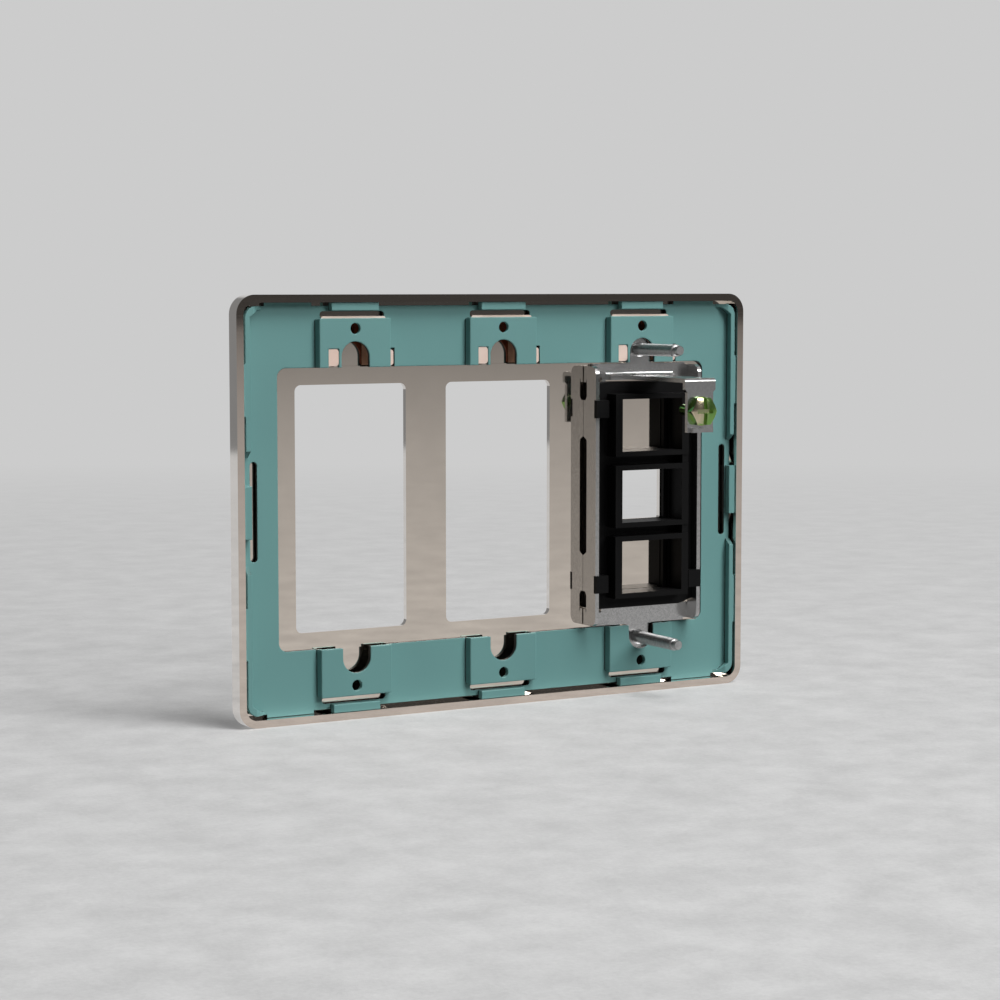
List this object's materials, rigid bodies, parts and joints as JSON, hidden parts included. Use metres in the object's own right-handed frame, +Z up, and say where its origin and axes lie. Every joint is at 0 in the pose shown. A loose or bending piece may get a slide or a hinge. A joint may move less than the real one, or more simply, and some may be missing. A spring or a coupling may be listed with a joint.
{
  "type": "wall plate",
  "caption": "Screwless metal wall plate with a moulded frame behind it, and in one gang a bent metal yoke with a three-socket jack module.",
  "frame": {"origin": "centre of the four corner plate-screw holes, on the rear of the moulded seats", "axes": "+Y towards the wall, +Z up, +X to the left as seen from the wall"},
  "size_m": [0.1622, 0.0366, 0.115],
  "materials": {
    "plate_metal": "smooth warm-toned metal, polished inside",
    "frame_plastic": "matt blue-green moulding",
    "clip_metal": "thin rolled bronze strip",
    "yoke_metal": "galvanised sheet",
    "module_plastic": "black moulding",
    "screw_metal": "bright plated",
    "earth_metal": "green plated over brass"
  },
  "bodies": {
    "cover": {"face_plate": "plate_metal"},
    "rear_frame": {"sub_frame": "frame_plastic", "earth_clip_left": "clip_metal", "earth_clip_middle": "clip_metal", "earth_clip_right": "clip_metal", "yoke": "yoke_metal", "jack_module": "module_plastic"},
    "upper_screw": {"device_screw_top": "screw_metal"},
    "lower_screw": {"device_screw_bottom": "screw_metal"},
    "earth_screw_turning": {"earth_screw": "earth_metal"}
  },
  "joints": [
    {"name": "face_plate_pull", "type": "slide", "parent": "cover", "child": "rear_frame", "axis": [0, 1, 0], "range_m": [0, 0.02]},
    {"name": "device_screw_top_turn", "type": "hinge", "parent": "rear_frame", "child": "upper_screw", "pos_m": [-0.04604, 0, 0.04167], "axis": [0, 1, 0], "continuous": true},
    {"name": "device_screw_bottom_turn", "type": "hinge", "parent": "rear_frame", "child": "lower_screw", "pos_m": [-0.04604, 0, -0.04167], "axis": [0, 1, 0], "continuous": true},
    {"name": "earth_screw_turn", "type": "hinge", "parent": "rear_frame", "child": "earth_screw_turning", "pos_m": [-0.04604, 0.0294, 0.0252], "axis": [0, 1, 0], "continuous": true}
  ]
}
